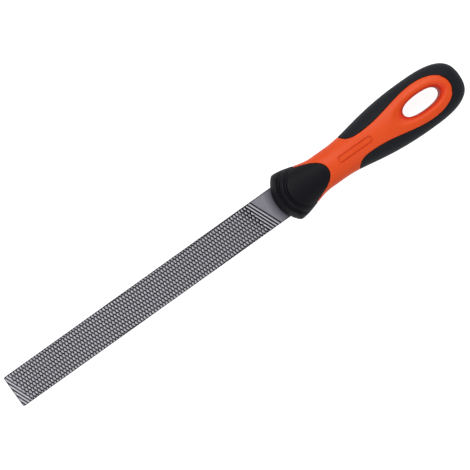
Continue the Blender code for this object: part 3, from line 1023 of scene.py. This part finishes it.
def redden_rim(finish, deep):
    tree = finish.node_tree
    shader = tree.nodes["Principled BSDF"]
    skin = shader.inputs["Base Color"].links[0].from_socket
    place = next(node for node in tree.nodes if node.type == "TEX_COORD").outputs["Object"]
    round_hole = add(
        tree,
        "ShaderNodeMapping",
        {"vector_type": "TEXTURE"},
        Vector=place,
        Location=(HOLE_CENTRE * MM, 0, 0),
        Scale=(HOLE_LENGTH / 2 * MM, HOLE_WIDTH / 2 * MM, ENDLESS),
    )
    away = add(tree, "ShaderNodeVectorMath", {"operation": "LENGTH"}, _0=round_hole)
    near = add(
        tree,
        "ShaderNodeMapRange",
        SMOOTH,
        Value=away,
        From_Min=RIM_FULL,
        From_Max=RIM_NONE,
        To_Min=1.0,
        To_Max=0.0,
    )
    colour = add(tree, "ShaderNodeMix", COLOURS, Factor=near, _6=skin, _7=linear(deep))
    plug(tree, shader, Base_Color=colour)


redden_rim(core_finish, RIM_TONE)
print("rim reddened to", RIM_TONE)

# %% [markdown]
# Each piece now takes its finish, rides on the frame's one body and stands in for its CAD solid.

# %% Dress the frame
for piece, node, slot, finish in (
    (blade, "file_blade", "hardened_steel", steel_finish),
    (core, "handle_core", "orange_polypropylene", core_finish),
    (collar, "front_collar", "collar_elastomer", collar_finish),
    (grip, "tail_grip", "grip_elastomer", grip_finish),
):
    piece.data.materials.clear()
    piece.data.materials.append(finish)
    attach(piece, "root")
    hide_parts(node)
    print("dressed:", piece.name, "for", node)

# %% [markdown]
# ## Floor, light and camera
#
# A product photograph on white, with the file lying on a pale floor. More lamps could bleach the floor,
# but they would bleach the tool as well. So the floor has its own glow, which the camera gets, and
# reflections get more faintly. It is white without more light falling on the tool, and it still takes a
# faint shadow.

# %% Floor
FLOOR_SIZE, FLOOR_MIDDLE = 6.0, 0.16
FLOOR_TONE, FLOOR_ROUGHNESS = "C4C4C4", 0.9
GLOW, REFLECTED_GLOW, WHITE = 0.9, 0.4, (1, 1, 1, 1)
floor_place = (FLOOR_MIDDLE, 0, cad_low.z)
floor = begin("floor", bpy.ops.mesh.primitive_plane_add, size=FLOOR_SIZE, location=floor_place)
floor_finish = bpy.data.materials.new("pale paper")
floor_finish.use_nodes = True
tree = floor_finish.node_tree
rays = add(tree, "ShaderNodeLightPath").outputs
mirrors = rays["Is Glossy Ray"], rays["Is Transmission Ray"]
adding = {"operation": "ADD", "use_clamp": True}
reflected = add(tree, "ShaderNodeMath", adding, _0=mirrors[0], _1=mirrors[1])
faint = add(tree, "ShaderNodeMath", {"operation": "MULTIPLY"}, _0=reflected, _1=REFLECTED_GLOW)
seen = rays["Is Camera Ray"]
glow = add(tree, "ShaderNodeMath", {"operation": "MULTIPLY_ADD"}, _0=seen, _1=GLOW, _2=faint)
paper = tree.nodes["Principled BSDF"]
plug(tree, paper, Base_Color=linear(FLOOR_TONE), Roughness=FLOOR_ROUGHNESS)
plug(tree, paper, Emission_Color=WHITE, Emission_Strength=glow)
floor.data.materials.append(floor_finish)
print("floor at", round(cad_low.z / MM, 2), "mm")

# %% [markdown]
# One broad soft lamp stands above and to one side, with a weaker one opposite, so that the teeth and the
# round handle are modelled by light without hard shadows. A grey sky fills the rest. It is brighter at
# the horizon than overhead, which lifts the sides of the tool. Places are in metres, and powers in watts.

# %% Lamps and sky
MIDDLE = Vector((0.158, 0.0, 0.0))
LAMPS = (("broad lamp", (0.45, 0.75, 1.15), 1.0, 10.5), ("far lamp", (-0.3, -0.6, 1.0), 0.8, 3.0))
SKY_AT_HORIZON, SKY_OVERHEAD = 0.80, 0.36
for name, place, size, power in LAMPS:
    lamp = begin(name, bpy.ops.object.light_add, type="AREA", location=place)
    lamp.data.shape = "DISK"
    lamp.data.size = size
    lamp.data.energy = power
    lamp.rotation_euler = (Vector(place) - MIDDLE).to_track_quat("Z", "Y").to_euler()
sky = bpy.data.worlds.new("studio sky")
bpy.context.scene.world = sky
sky.use_nodes = True
tree = sky.node_tree
towards = add(tree, "ShaderNodeTexCoord").outputs["Generated"]
up = add(tree, "ShaderNodeSeparateXYZ", Vector=towards).outputs["Z"]
level = add(tree, "ShaderNodeMapRange", Value=up, To_Min=SKY_AT_HORIZON, To_Max=SKY_OVERHEAD)
plug(tree, tree.nodes["Background"], Color=WHITE, Strength=level)

# %% [markdown]
# The camera looks down from a little to one side, with a long lens, so the outline is nearly free of
# perspective. An orthographic camera would have none at all, but a real lens always leaves a trace of it.
# The camera is turned so that the file lies across the picture from lower left to upper right.

# %% Camera
LENS, SENSOR = 200.0, 36.0
FIELD = 273.26
TURN = math.radians(35.50)
AIM, ASIDE = Vector((158.15, -0.27, FACE)), 50.0
DISTANCE = FIELD * LENS / SENSOR
FARTHEST = 20.0
bpy.ops.object.camera_add(location=(AIM + Vector((0, ASIDE, DISTANCE))) * MM)
camera = bpy.context.object
camera.data.lens = LENS
camera.data.sensor_width = SENSOR
camera.data.clip_end = FARTHEST
tilt = Matrix.Rotation(-math.atan2(ASIDE, DISTANCE), 3, "X")
camera.rotation_euler = (tilt @ Matrix.Rotation(-TURN, 3, "Z")).to_euler()
bpy.context.scene.camera = camera
bpy.context.scene.view_settings.view_transform = "Standard"
print("camera at", [round(v, 3) for v in camera.location])
